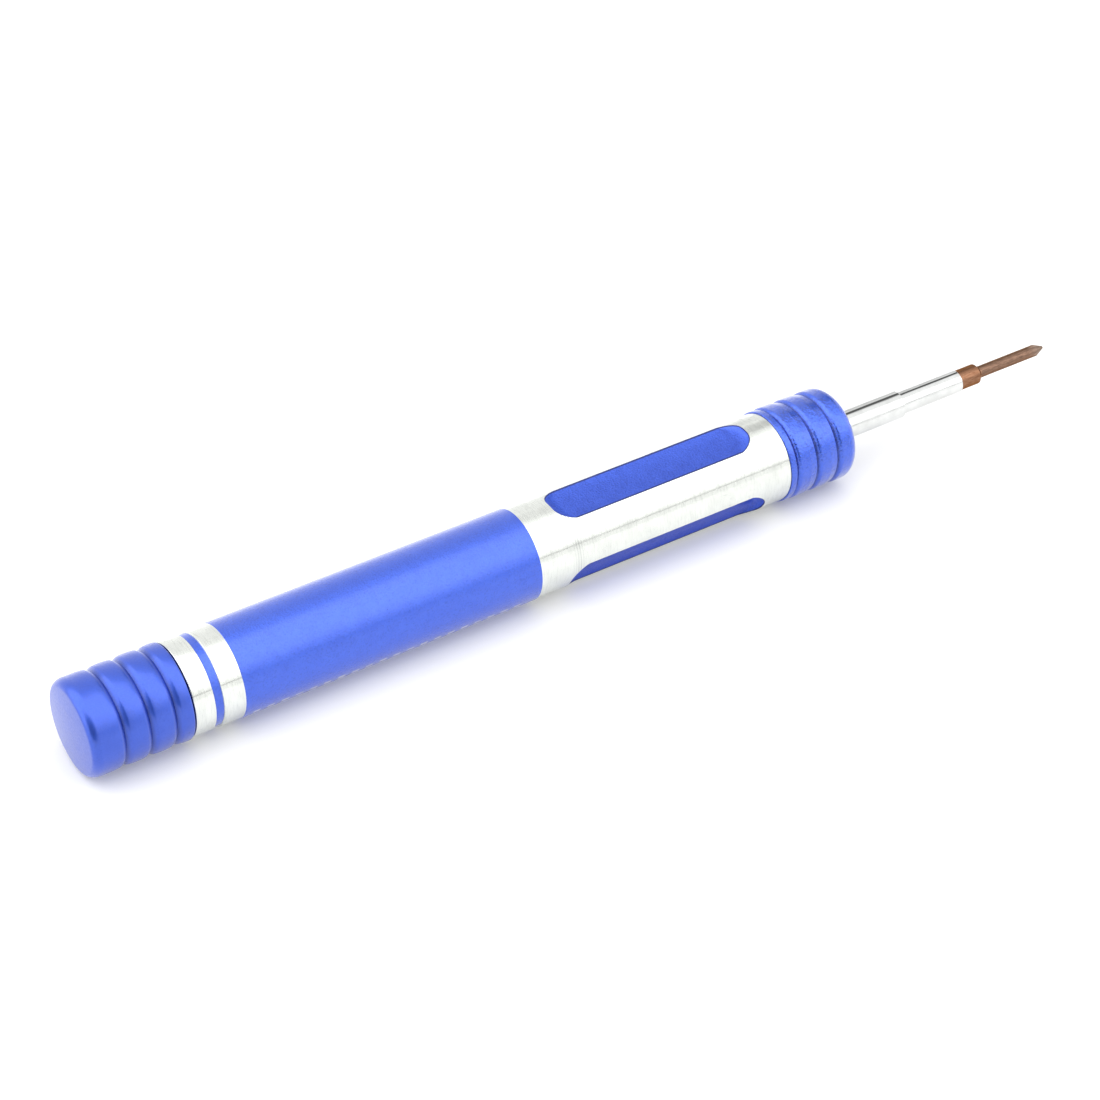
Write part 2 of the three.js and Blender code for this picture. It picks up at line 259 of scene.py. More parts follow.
HANDLE_START, SPIGOT_END = ends("handle_body")
HANDLE_R = radius_of("handle_body")
BAND_R = HANDLE_R - 0.04
STRIPE_R = HANDLE_R - 0.24
BAND_1_END = 15.9
STRIPE_END = 17.0
BAND_2_END = 19.75
STEP = 0.05
ZONE_MARGIN = 0.01
GRIP_START = 60.65
GRIP_R = HANDLE_R - 0.09
COLLAR_START, COLLAR_END = ends("nose_collar")
GRIP_END = COLLAR_START - SEAT_GAP
GRIP_SKIN = 0.3
SPIGOT_R = 4.0

FLATS = 3
FIRST_FLAT_DEG = 94
FLAT_START = 65.2
FLAT_LENGTH = 29.5
FLAT_WIDTH = 6.0
FLAT_CORNER_R = 2.45
FLAT_DEPTH = 0.8
FLAT_SWEEP = 1.8
FLAT_SIDE_SWEEP = 0.12

COLLAR_R = radius_of("nose_collar")
COLLAR_LAND_R = COLLAR_R - 0.09
COLLAR_FIRST_GROOVE = 99.4
COLLAR_GROOVES = 3
COLLAR_LAST_GROOVE = COLLAR_FIRST_GROOVE + (COLLAR_GROOVES - 1) * GROOVE_PITCH
COLLAR_GROOVE_HALF_WIDTH = 0.28
COLLAR_GROOVE_DEPTH = 0.42
COLLAR_GROOVE_FLOOR = 0.06
COLLAR_BEVEL_LENGTH = 1.0
COLLAR_BEVEL_DROP = 0.17
COLLAR_BEVEL_STEP = 0.035
COLLAR_LIP_LENGTH = 0.05
COLLAR_LIP_DROP = 0.04
COLLAR_SHOULDER_LENGTH = 0.6
COLLAR_SHOULDER_DROP = 0.1
NOSE_ROUND = 1.5

SLEEVE_START, SLEEVE_END = ends("shank_sleeve")
SLEEVE_R = radius_of("shank_sleeve")
SLEEVE_EDGE = 0.18
HOLDER_START, HOLDER_END = ends("bit_holder")
HOLDER_R = radius_of("bit_holder")
HOLDER_EDGE = 0.06
BIT_START, TIP_END = ends("driver_bit")
BIT_R = radius_of("driver_bit")
BIT_BODY_END = 133.55
BIT_CHAMFER = 0.4
BIT_EDGE = 0.05
BIT_FACE_R = BIT_R - 0.5
BLADE_R = 0.8
BLADE_FILLET = 0.08
BLADE_END = 143.5
BLADE_EDGE_LENGTH = 0.1
BLADE_EDGE_DROP = 0.02
TIP_R = 0.14
TIP_EDGE_LENGTH = 0.06
TIP_EDGE_RISE = 0.05
FLUTES = 4
FLUTE_SLOPE_DEG = 13
FLUTE_HALF_ANGLE_DEG = 43
FLUTE_ROOT_R = 0.16
FLUTE_LENGTH = 5
FLUTE_REACH = 2

# ---------------------------------------------------------------- turned pieces

def cap_groove(middle):
    """A groove of the cap in an outline: a V-shaped root between two crowned ridges."""
    ridge = [CAP_CROWN_REACH * (1 - i / 10) for i in range(6)]
    root = [CAP_GROOVE_HALF_WIDTH * (1 - i / 8) for i in range(9)]
    inward = ridge + root
    points = []
    for offset in [-reach for reach in inward] + inward[-2::-1]:
        away = abs(offset)
        crown = CAP_CROWN_DROP * (1 - away / CAP_CROWN_REACH) ** 2
        taper = max(0, 1 - away / CAP_GROOVE_HALF_WIDTH)
        root_depth = CAP_GROOVE_DEPTH * taper ** CAP_GROOVE_STEEPNESS
        points.append((middle + offset, CAP_R - crown - root_depth))
    return points


def make_cap():
    """The cap: a slightly domed end, an elliptical edge, the grooves and the bearing's seat."""
    edge = []
    steps = 18
    for i in range(steps + 1):
        turn = math.radians(CAP_DOME_EDGE_DEG) * (1 - i / steps)
        radius = CAP_R - CAP_ROUND_HEIGHT * (1 - math.cos(turn))
        edge.append((CAP_ROUND_END - CAP_ROUND_LENGTH * math.sin(turn), radius))
    dome_rise, dome_radius = edge[0]
    dome = [(dome_rise * (i / steps) ** 2, dome_radius * i / steps) for i in range(steps)]
    outline = dome + edge
    for i in range(CAP_GROOVES):
        outline += cap_groove(CAP_FIRST_GROOVE + i * GROOVE_PITCH)
    outline += arc(CAP_END - CAP_OPEN_EDGE, CAP_R - CAP_OPEN_EDGE, CAP_OPEN_EDGE, 90, 0, 6)
    bore = BEARING_R + FIT_GAP
    seat = BEARING_START - SEAT_GAP
    outline += [(CAP_END, bore), (seat, bore), (seat, CAP_HOLLOW_R)]
    outline += [(CAP_HOLLOW_START, CAP_HOLLOW_R), (CAP_HOLLOW_POINT, 0)]
    return turned("swivel_cap_shell", outline)


def flat_cutter(index, material):
    """The space that one finger flat takes from the grip: a rounded slot whose floor sweeps up
    at its two ends. Each loop is its inset along the tool, its inset across and its height."""
    loops = []
    steps = 12
    for i in range(steps + 1):
        turn = math.pi / 2 * i / steps
        inset = 1 - math.sin(turn)
        height = FLAT_DEPTH * (1 - math.cos(turn))
        loops.append((FLAT_SWEEP * inset, FLAT_SIDE_SWEEP * inset, height))
    loops.append((0, 0, FLAT_DEPTH + CUTTER_OVERSHOOT))
    bm = bmesh.new()
    angle = math.radians(FIRST_FLAT_DEG - 90 + 360 / FLATS * index)
    rolled = Matrix.Rotation(angle, 4, "X")
    middle = REAR_X + (FLAT_START + FLAT_LENGTH / 2) * MM
    place = Matrix.Translation((middle, 0, AXIS_Z)) @ rolled
    rings = []
    for inset_along, inset_across, height in loops:
        along = FLAT_LENGTH / 2 - FLAT_CORNER_R
        across = FLAT_WIDTH / 2 - FLAT_CORNER_R
        ring = []
        for quarter, (sx, sy) in enumerate([(1, -1), (1, 1), (-1, 1), (-1, -1)]):
            for k in range(steps + 1):
                turn = math.radians(-90 + 90 * quarter + 90 * k / steps)
                x = sx * along + (FLAT_CORNER_R - inset_along) * math.cos(turn)
                y = sy * across + (FLAT_CORNER_R - inset_across) * math.sin(turn)
                z = GRIP_R - FLAT_DEPTH + height
                ring.append(bm.verts.new(place @ Vector((x * MM, y * MM, z * MM))))
        rings.append(ring)
    bm.faces.new(rings[0])
    bm.faces.new(rings[-1])
    for low, high in zip(rings, rings[1:]):
        for i in range(len(low)):
            j = (i + 1) % len(low)
            bm.faces.new((low[i], low[j], high[j], high[i]))
    cutter = link(f"flat_cutter_{index}", finish_mesh(bm, "flat_cutter"))
    cutter.data.materials.append(material)
    return cutter


def handle_zone(station, radius):
    """The handle's material slot: 1 (bright) on its bands and grip, 0 (blue) elsewhere."""
    banded = HANDLE_START < station < BAND_2_END and radius > STRIPE_R + ZONE_MARGIN
    grip = GRIP_START < station < GRIP_END and radius > GRIP_R - GRIP_SKIN
    return 1 if banded or grip else 0


def make_handle(blue, bright, flat_blue):
    hole_end = SCREW_TIP + SEAT_GAP
    shank_hole = SLEEVE_R + FIT_GAP
    outline = [(hole_end + AXLE_HOLE_R, 0), (hole_end, AXLE_HOLE_R), (HANDLE_START, AXLE_HOLE_R)]
    outline += arc(HANDLE_START + EDGE, BAND_R - EDGE, EDGE, 180, 90, 5)
    outline += [(BAND_1_END - STEP, BAND_R), (BAND_1_END, BAND_R - STEP)]
    outline += [(BAND_1_END + STEP, STRIPE_R), (STRIPE_END - STEP, STRIPE_R)]
    outline += [(STRIPE_END, BAND_R - STEP), (STRIPE_END + STEP, BAND_R)]
    outline += [(BAND_2_END, BAND_R), (BAND_2_END + STEP, HANDLE_R)]
    outline += [(GRIP_START - STEP, HANDLE_R), (GRIP_START, GRIP_R), (GRIP_END, GRIP_R)]
    outline += [(GRIP_END, SPIGOT_R), (SPIGOT_END, SPIGOT_R), (SPIGOT_END, shank_hole)]
    outline += [(SLEEVE_START - SEAT_GAP, shank_hole), (SLEEVE_START - shank_hole, 0)]
    handle = turned("handle_barrel", outline, zone=handle_zone)
    handle.data.materials.append(blue)
    handle.data.materials.append(bright)
    return cut(handle, [flat_cutter(i, flat_blue) for i in range(FLATS)])


def collar_front_wall(groove):
    """A groove's front wall, from its root to the full radius of the ring in front of it."""
    root_radius = COLLAR_R - COLLAR_GROOVE_DEPTH
    half_floor = COLLAR_GROOVE_FLOOR / 2
    outline = [(groove - half_floor, root_radius), (groove + half_floor, root_radius)]
    low = groove + COLLAR_GROOVE_HALF_WIDTH
    high = groove + COLLAR_SHOULDER_LENGTH
    steps = 6
    for i in range(steps + 1):
        away = 1 - i / steps
        outline.append((high - away * (high - low), COLLAR_R - COLLAR_SHOULDER_DROP * away ** 2))
    return outline


def make_collar():
    """The collar: a narrow land, two rings that end in a bevel, and the rounded nose."""
    land_end = COLLAR_FIRST_GROOVE - COLLAR_GROOVE_HALF_WIDTH
    outline = [(COLLAR_START, SPIGOT_R + FIT_GAP)]
    outline += arc(COLLAR_START + EDGE, COLLAR_LAND_R - EDGE, EDGE, 180, 90, 5)
    outline += arc(land_end, COLLAR_LAND_R - EDGE, EDGE, 90, 30, 4)
    outline += collar_front_wall(COLLAR_FIRST_GROOVE)
    for i in range(1, COLLAR_GROOVES):
        groove = COLLAR_FIRST_GROOVE + i * GROOVE_PITCH
        bevel_end = groove - COLLAR_GROOVE_HALF_WIDTH
        bevel_start = bevel_end - COLLAR_BEVEL_LENGTH
        bevel_low = COLLAR_R - COLLAR_BEVEL_DROP
        outline += [(bevel_start - COLLAR_BEVEL_STEP, COLLAR_R)]
        outline += [(bevel_start, COLLAR_R - COLLAR_BEVEL_STEP)]
        outline += [(bevel_end - COLLAR_LIP_LENGTH, bevel_low)]
        outline += [(bevel_end, bevel_low - COLLAR_LIP_DROP)]
        outline += collar_front_wall(groove)
    outline += arc(COLLAR_END - NOSE_ROUND, COLLAR_R - NOSE_ROUND, NOSE_ROUND, 90, 0, 18)
    bore = SLEEVE_R + FIT_GAP
    web = SPIGOT_END + SEAT_GAP
    outline += [(COLLAR_END, bore), (web, bore), (web, SPIGOT_R + FIT_GAP)]
    return turned("nose_collar_ring", outline, closed=True)


def make_sleeve():
    bore = HOLDER_R + FIT_GAP
    outline = [(SLEEVE_START, 0), (SLEEVE_START, SLEEVE_R)]
    outline += arc(SLEEVE_END - SLEEVE_EDGE, SLEEVE_R - SLEEVE_EDGE, SLEEVE_EDGE, 90, 0, 8)
    outline += [(SLEEVE_END, bore), (HOLDER_START - SEAT_GAP, bore), (HOLDER_START - bore, 0)]
    return turned("shank_sleeve_tube", outline, sides=TUBE_SIDES)


def make_holder():
    bore = BIT_R + FIT_GAP
    outline = [(HOLDER_START, 0), (HOLDER_START, HOLDER_R)]
    outline += arc(HOLDER_END - HOLDER_EDGE, HOLDER_R - HOLDER_EDGE, HOLDER_EDGE, 90, 0, 5)
    outline += [(HOLDER_END, bore), (BIT_START - SEAT_GAP, bore), (BIT_START - bore, 0)]
    return turned("bit_holder_tube", outline, sides=TUBE_SIDES)


def flute_cutter(index):
    """The V-shaped space that one flute of the cross tip takes."""
    side = FLUTE_REACH * math.tan(math.radians(FLUTE_HALF_ANGLE_DEG))
    bm = bmesh.new()
    place = Matrix.Translation((REAR_X + TIP_END * MM, 0, AXIS_Z))
    place = place @ Matrix.Rotation(2 * math.pi * index / FLUTES, 4, "X")
    place = place @ Matrix.Translation((0, FLUTE_ROOT_R * MM, 0))
    place = place @ Matrix.Rotation(-math.radians(FLUTE_SLOPE_DEG), 4, "Z")
    rings = []
    for x in (-FLUTE_LENGTH, CUTTER_OVERSHOOT):
        ring = []
        for y, z in ((0, 0), (FLUTE_REACH, side), (FLUTE_REACH, -side)):
            ring.append(bm.verts.new(place @ Vector((x * MM, y * MM, z * MM))))
        rings.append(ring)
        bm.faces.new(ring)
    for i in range(3):
        j = (i + 1) % 3
        bm.faces.new((rings[0][i], rings[0][j], rings[1][j], rings[1][i]))
    return link(f"flute_cutter_{index}", finish_mesh(bm, "flute_cutter"))


def make_bit():
    chamfer_end = BIT_BODY_END - BIT_EDGE
    outline = [(BIT_START, 0), (BIT_START, BIT_R), (chamfer_end - BIT_CHAMFER, BIT_R)]
    outline += [(chamfer_end, BIT_R - BIT_CHAMFER), (BIT_BODY_END, BIT_FACE_R)]
    outline += [(BIT_BODY_END, BLADE_R + BLADE_FILLET), (BIT_BODY_END + BLADE_FILLET, BLADE_R)]
    outline += [(BLADE_END - BLADE_EDGE_LENGTH, BLADE_R), (BLADE_END, BLADE_R - BLADE_EDGE_DROP)]
    outline += [(TIP_END - TIP_EDGE_LENGTH, TIP_R + TIP_EDGE_RISE), (TIP_END, TIP_R), (TIP_END, 0)]
    bit = turned("driver_bit_blade", outline, sides=TUBE_SIDES)
    return cut(bit, [flute_cutter(i) for i in range(FLUTES)])


# ---------------------------------------------------------------- pieces inside the cap

def make_outer_ring():
    rise = math.degrees(math.acos((OUTER_SHOULDER_R - BALL_PITCH_R) / RACE_R))
    front_seat = BEARING_END - SHIELD_SEAT_DEPTH
    rear_seat = BEARING_START + SHIELD_SEAT_DEPTH
    outline = arc(BEARING_START + RACE_EDGE, BEARING_R - RACE_EDGE, RACE_EDGE, 180, 90, 4)
    outline += arc(BEARING_END - RACE_EDGE, BEARING_R - RACE_EDGE, RACE_EDGE, 90, 0, 4)
    outline += [(BEARING_END, SHIELD_SEAT_R), (front_seat, SHIELD_SEAT_R)]
    outline += [(front_seat, OUTER_SHOULDER_R)]
    outline += arc(BEARING_MIDDLE, BALL_PITCH_R, RACE_R, 90 - rise, 90 + rise, 18)
    outline += [(rear_seat, OUTER_SHOULDER_R), (rear_seat, SHIELD_SEAT_R)]
    outline += [(BEARING_START, SHIELD_SEAT_R)]
    return turned("bearing_outer_race", outline, closed=True)


def make_inner_ring():
    drop = math.degrees(math.acos((BALL_PITCH_R - INNER_SHOULDER_R) / RACE_R))
    outline = [(BEARING_START, AXLE_HOLE_R), (BEARING_START, INNER_SHOULDER_R)]
    outline += arc(BEARING_MIDDLE, BALL_PITCH_R, RACE_R, 270 - drop, 270 + drop, 18)
    outline += [(BEARING_END, INNER_SHOULDER_R), (BEARING_END, AXLE_HOLE_R)]
    return turned("bearing_inner_race", outline, sides=SMALL_SIDES, closed=True)


def make_shield(node):
    start, end = ends(node)
    outline = box_outline(start, end, SHIELD_BORE_R, radius_of(node), SHIELD_EDGE)
    return turned(node + "_disc", outline, sides=SMALL_SIDES * 2, closed=True)


def make_cage():
    start, end = ends("ball_cage")
    outline = box_outline(start, end, CAGE_INNER_R, CAGE_OUTER_R, CAGE_EDGE)
    cage = turned("ball_cage_ring", outline, closed=True)
    return cut(cage, [pocket_cutter(i) for i in range(BALLS)])


def pocket_cutter(index):
    """The space of one ball pocket: a round hole through the cage, open at the front."""
    place = Matrix.Translation((REAR_X + BEARING_MIDDLE * MM, 0, AXIS_Z))
    place = place @ Matrix.Rotation(2 * math.pi * index / BALLS, 4, "X")
    half_mouth = CAGE_MOUTH_WIDTH / 2
    from_deg = math.degrees(math.asin(half_mouth / CAGE_POCKET_R))
    outline = arc(0, 0, CAGE_POCKET_R, from_deg, 360 - from_deg, 28)
    outline += [(BEARING_R, -half_mouth), (BEARING_R, half_mouth)]
    bm = bmesh.new()
    rings = []
    for y in (CAGE_INNER_R - CUTTER_OVERSHOOT, CAGE_OUTER_R + CUTTER_OVERSHOOT):
        rings.append([bm.verts.new(place @ (Vector((x, y, z)) * MM)) for x, z in outline])
        bm.faces.new(rings[-1])
    for i in range(len(outline)):
        j = (i + 1) % len(outline)
        bm.faces.new((rings[0][i], rings[0][j], rings[1][j], rings[1][i]))
    return link(f"pocket_cutter_{index}", finish_mesh(bm, "pocket_cutter"))


def make_ball(index):
    low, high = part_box(f"bearing_ball_{index}")
    place = Matrix.Translation((low + high) / 2)
    bm = bmesh.new()
    bmesh.ops.create_icosphere(bm, subdivisions=4, radius=BALL_R * MM, matrix=place)
    return link(f"bearing_ball_{index}_sphere", finish_mesh(bm, "bearing_ball"))


def thread_outline(start, end, crest, root):
    """Thread-like rings along a screw, from start to end."""
    turns = round((end - start) / THREAD_PITCH)
    outline = []
    for i in range(turns):
        station = start + i * THREAD_PITCH
        outline += [(station, crest), (station + THREAD_FLANK, root)]
        outline += [(station + THREAD_FLANK + THREAD_ROOT_WIDTH, root)]
    return outline + [(end, crest)]


def make_screw():
    edge = SCREW_EDGE
    outline = [(SCREW_START, 0)] + arc(SCREW_START + edge, SCREW_HEAD_R - edge, edge, 180, 90, 6)
    outline += [(SCREW_HEAD_END, SCREW_HEAD_R), (SCREW_HEAD_END, SCREW_R)]
    outline += thread_outline(THREAD_START, THREAD_END, SCREW_R, SCREW_R - THREAD_DEPTH)
    outline += [(SCREW_TIP - edge, SCREW_R), (SCREW_TIP, SCREW_R - edge), (SCREW_TIP, 0)]
    screw = turned("axle_screw_shaft", outline, sides=SMALL_SIDES)
    return cut(screw, [slot_cutter()])


def slot_cutter():
    """The space of the screw's slot: a bar across the head, sunk to half its own depth."""
    bm = bmesh.new()
    size = Vector((SCREW_SLOT_DEPTH * 2, SCREW_HEAD_R * 3, SCREW_SLOT_WIDTH)) * MM
    place = Matrix.Translation((REAR_X + SCREW_START * MM, 0, AXIS_Z)) @ Matrix.Diagonal((*size, 1))
    bmesh.ops.create_cube(bm, size=1, matrix=place)
    return link("slot_cutter", finish_mesh(bm, "slot_cutter"))


def make_spacer():
    start, end = ends("axle_spacer")
    outline = box_outline(start, end, AXLE_HOLE_R, radius_of("axle_spacer"), SPACER_EDGE)
    return turned("axle_spacer_washer", outline, sides=SMALL_SIDES, closed=True)


# ---------------------------------------------------------------- materials

class Finish:
    """A material built node by node. Patterns are laid out in millimetres along the tool."""

    def __init__(self, name, **constants):
        self.material = bpy.data.materials.new(name)
        self.material.use_nodes = True
        self.tree = self.material.node_tree
        self.shader = self.tree.nodes["Principled BSDF"]
        for socket, value in constants.items():
            self.shader.inputs[socket.replace("_", " ")].default_value = value
        coordinates = self.add("ShaderNodeTexCoord")
        self.millimetres = self.add(
            "ShaderNodeMapping",
            {
                "Vector": coordinates.outputs["Object"],
                "Scale": (1 / MM, 1 / MM, 1 / MM),
                "Location": (-REAR_X / MM, 0, -AXIS_Z / MM),
            },
        ).outputs["Vector"]

    def put(self, socket, value):
        if isinstance(value, bpy.types.NodeSocket):
            self.tree.links.new(value, socket)
        else:
            socket.default_value = value

    def add(self, kind, inputs=None, **settings):
        node = self.tree.nodes.new(kind)
        for setting, value in settings.items():
            setattr(node, setting, value)
        for socket, value in (inputs or {}).items():
            self.put(node.inputs[socket], value)
        return node

    def stretched(self, density):
        inputs = {"Vector": self.millimetres, "Scale": density}
        return self.add("ShaderNodeMapping", inputs).outputs["Vector"]

    def noise(self, density, detail=2.0, shift=0.0):
        """Soft noise from 0 to 1; density says how many grains fit in a millimetre each way."""
        inputs = {"Vector": self.stretched(density), "W": shift, "Scale": 1.0, "Detail": detail}
        return self.add("ShaderNodeTexNoise", inputs, noise_dimensions="4D").outputs["Fac"]

    def specks(self, density, size):
        """1 at the middle of small scattered dots, 0 outside them."""
        inputs = {"Vector": self.stretched(density), "Scale": 1.0}
        cells = self.add("ShaderNodeTexVoronoi", inputs)
        return self.band(cells.outputs["Distance"], size, 0, 0, 1)

    def inside(self, value, low, high, edge):
        """1 where the value is between low and high, falling to 0 across the edge."""
        rise = self.band(value, low - edge, low + edge, 0, 1)
        return self.math("MULTIPLY", rise, self.band(value, high - edge, high + edge, 1, 0))

    def band(self, value, low, high, to_low, to_high):
        """The value's range from low to high mapped to a new range, and held at its ends."""
        inputs = {"Value": value, "From Min": low, "From Max": high}
        inputs.update({"To Min": to_low, "To Max": to_high})
        return self.add("ShaderNodeMapRange", inputs).outputs["Result"]

    def spread(self, pattern, to_low, to_high):
        """A noise pattern's usual range mapped to a new range."""
        return self.band(pattern, 0.3, 0.7, to_low, to_high)

    def math(self, operation, *values):
        return self.add("ShaderNodeMath", dict(enumerate(values)), operation=operation).outputs[0]

    def mix(self, low, high, amount):
        """One colour over another; each is a socket or red, green and blue."""
        node = self.add("ShaderNodeMix", data_type="RGBA")
        self.put(node.inputs["Factor"], amount)
        for name, colour in (("A", low), ("B", high)):
            socket = [i for i in node.inputs if i.name == name and i.type == "RGBA"][0]
            plain = not isinstance(colour, bpy.types.NodeSocket)
            self.put(socket, (*colour, 1) if plain else colour)
        return [o for o in node.outputs if o.type == "RGBA"][0]

    def bump(self, height, depth_mm, under=None):
        inputs = {"Height": height, "Distance": depth_mm * MM, "Strength": 1.0}
        if under is not None:
            inputs["Normal"] = under
        return self.add("ShaderNodeBump", inputs).outputs["Normal"]

    def station(self):
        return self.add("ShaderNodeSeparateXYZ", {"Vector": self.millimetres}).outputs["X"]

    def radius(self):
        """The distance from the tool's axis."""
        inputs = {0: self.millimetres, 1: (0, 1, 1)}
        across = self.add("ShaderNodeVectorMath", inputs, operation="MULTIPLY").outputs["Vector"]
        return self.add("ShaderNodeVectorMath", {0: across}, operation="LENGTH").outputs["Value"]

    def turn_deg(self):
        """The angle about the tool's axis, from the front (0) over the top (90)."""
        axes = self.add("ShaderNodeSeparateXYZ", {"Vector": self.millimetres}).outputs
        turn = self.math("ARCTAN2", axes["Z"], self.math("MULTIPLY", axes["Y"], -1))
        return self.math("MULTIPLY", turn, 180 / math.pi)

    def tangent_around(self):
        tangent = self.add("ShaderNodeTangent", direction_type="RADIAL", axis="X")
        self.put(self.shader.inputs["Tangent"], tangent.outputs["Tangent"])

    def wear(self, colour, roughness, normal):
        self.put(self.shader.inputs["Base Color"], colour)
        self.put(self.shader.inputs["Roughness"], roughness)
        self.put(self.shader.inputs["Normal"], normal)
        return self.material


ROUND_GRAIN = (1, 1, 1)
RINGS = (1, 0.02, 0.02)

BLUE_DARK, BLUE_LIGHT = (0.041, 0.106, 0.62), (0.050, 0.127, 0.68)
CAP_DARK, CAP_LIGHT = (0.035, 0.090, 0.53), (0.041, 0.104, 0.58)
FLAT_DARK, FLAT_LIGHT = (0.062, 0.120, 0.60), (0.074, 0.144, 0.69)
FLAT_GLANCE = (0.25, 0.28, 0.7, 1)
GRAIN_SHADE = 0.6
# The pit tone below also gives the colour of the painted shade in the groove roots.
PIT_AND_PAINTED_GROOVE_SHADE = 0.35
# Painted shade: the roots of the cap's and collar's grooves are painted darker in place of their
# shade.
GROOVE_SHADE_REACH = 1
GROOVE_SHADE_START = 0.16
GROOVE_SHADE_DEEP = 0.4
CAP_GROOVE_SHADE = 0.45
COLLAR_GROOVE_SHADE = 0.7
# Painted shade: a dark line painted along the edge round each flat, in place of the shade there.
RIM_PAINTED_SHADE_COLOUR = (0.035, 0.038, 0.10)
RIM_DROP = 0.14
RIM_EDGE = 0.03
RIM_PAINTED_SHADE_AMOUNT = 0.8
TICK_COLOUR = (0.55, 0.57, 0.66)
TICKS_FROM = 20.6
TICKS_TO = 58.6
TICK_PITCH = 1.9
TICK_START = 0.2
TICK_END = 0.72
TICK_LOW_DEG = -41
TICK_HIGH_DEG = -31

ALUMINIUM_DARK, ALUMINIUM_LIGHT = (0.70, 0.72, 0.685), (0.79, 0.81, 0.77)
WIDE_RING_COLOUR = (0.69, 0.715, 0.68)
RING_COLOUR = (0.54, 0.565, 0.53)
SCRATCH_COLOUR = (0.4, 0.42, 0.4)
CHATTER_COLOUR = (0.52, 0.54, 0.52)
CHATTER_STATION = 66.2
CHATTER_PITCH = 0.36

STEEL_DARK, STEEL_LIGHT = (0.66, 0.67, 0.66), (0.77, 0.78, 0.77)
DRAWN_LINE_COLOUR = (0.56, 0.57, 0.56)

BRONZE_GLANCE = (0.55, 0.4, 0.3, 1)
BODY_DARK, BODY_LIGHT = (0.20, 0.092, 0.05), (0.33, 0.175, 0.105)
BLADE_DARK, BLADE_LIGHT = (0.14, 0.085, 0.062), (0.29, 0.175, 0.12)
WORN_TIP_COLOUR = (0.24, 0.21, 0.185)
SCALE_COLOUR = (0.09, 0.055, 0.04)


def per_mm(direction, count):
    """A density for noise: how many grains fit in a millimetre each way."""
    return tuple(count * part for part in direction)


def shade(colour, factor):
    """The same colour, darker for a factor below 1."""
    return tuple(part * factor for part in colour)


def tick_row(finish):
    """1 on a row of short plain marks along the handle, 0 elsewhere."""
    station = finish.station()
    from_start = finish.math("SUBTRACT", station, TICKS_FROM)
    phase = finish.math("FRACT", finish.math("DIVIDE", from_start, TICK_PITCH))
    marks = finish.inside(phase, TICK_START, TICK_END, 0.04)
    row = finish.inside(station, TICKS_FROM, TICKS_TO, 0.02)
    height = finish.inside(finish.turn_deg(), TICK_LOW_DEG, TICK_HIGH_DEG, 0.5)
    return finish.math("MULTIPLY", finish.math("MULTIPLY", marks, row), height)


def painted_groove_shade(finish, start, end, rim, amount):
    """How much painted shade darkens the roots of the grooves between two stations, 0 elsewhere."""
    deep = finish.band(finish.radius(), rim - GROOVE_SHADE_DEEP, rim - GROOVE_SHADE_START, amount, 0)
    return finish.math("MULTIPLY", deep, finish.inside(finish.station(), start, end, 0.05))


def anodised(name, dark, light, grain_depth, line_depth, roughness, coat=1.0, grains_per_mm=4.5,
             grooves=None, rim=None, ticks=False, **constants):
    """Dyed oxide over aluminium: a clear coat, a fine satin grain and faint turning lines.
    Depths are in millimetres. grooves holds the last four arguments of the function that paints
    shade into the groove roots, and rim is the radius of the edge round a flat, along which a dark
    line of shade is painted."""
    finish = Finish(
        name, Metallic=0.85, Coat_Weight=coat, Coat_Roughness=0.13, Coat_IOR=1.46, **constants,
    )
    mottle = finish.noise(per_mm(ROUND_GRAIN, 0.7), detail=5)
    grain = finish.noise(per_mm(ROUND_GRAIN, grains_per_mm), detail=4, shift=1.7)
    lines = finish.noise(per_mm(RINGS, 9), detail=2, shift=4.1)
    pits = finish.specks(per_mm(ROUND_GRAIN, 0.42), 0.055)
    in_grain = finish.band(grain, 0.5, 0.75, 0, min(0.7, grain_depth * 9))
    colour = finish.mix(dark, light, finish.band(mottle, 0.25, 0.75, 0, 1))
    colour = finish.mix(colour, shade(dark, GRAIN_SHADE), in_grain)
    colour = finish.mix(colour, shade(dark, PIT_AND_PAINTED_GROOVE_SHADE), finish.math("MULTIPLY", pits, 0.7))
    rough = finish.math(
        "ADD",
        finish.spread(grain, roughness - 0.05, roughness + 0.05),
        finish.spread(mottle, -0.02, 0.02),
    )
    normal = finish.bump(grain, grain_depth)
    normal = finish.bump(lines, line_depth, normal)
    normal = finish.bump(pits, -0.01, normal)
    # Painted shade: darker blue painted into the groove roots, standing in for the shade there.
    if grooves:
        colour = finish.mix(colour, shade(dark, PIT_AND_PAINTED_GROOVE_SHADE), painted_groove_shade(finish, *grooves))
    # Painted shade: a dark line painted along the edge round the flat.
    if rim:
        shaded_rim_radius = rim - RIM_DROP
        edge = finish.band(finish.radius(), shaded_rim_radius - RIM_EDGE, shaded_rim_radius, 0, RIM_PAINTED_SHADE_AMOUNT)
        colour = finish.mix(colour, RIM_PAINTED_SHADE_COLOUR, edge)
    if ticks:
        marks = tick_row(finish)
        worn = finish.math("MULTIPLY", marks, finish.band(mottle, 0.3, 0.6, 0.45, 0.85))
        colour = finish.mix(colour, TICK_COLOUR, worn)
        rough = finish.math("ADD", rough, finish.math("MULTIPLY", marks, 0.2))
        normal = finish.bump(marks, -0.02, normal)
    return finish.wear(colour, rough, normal)


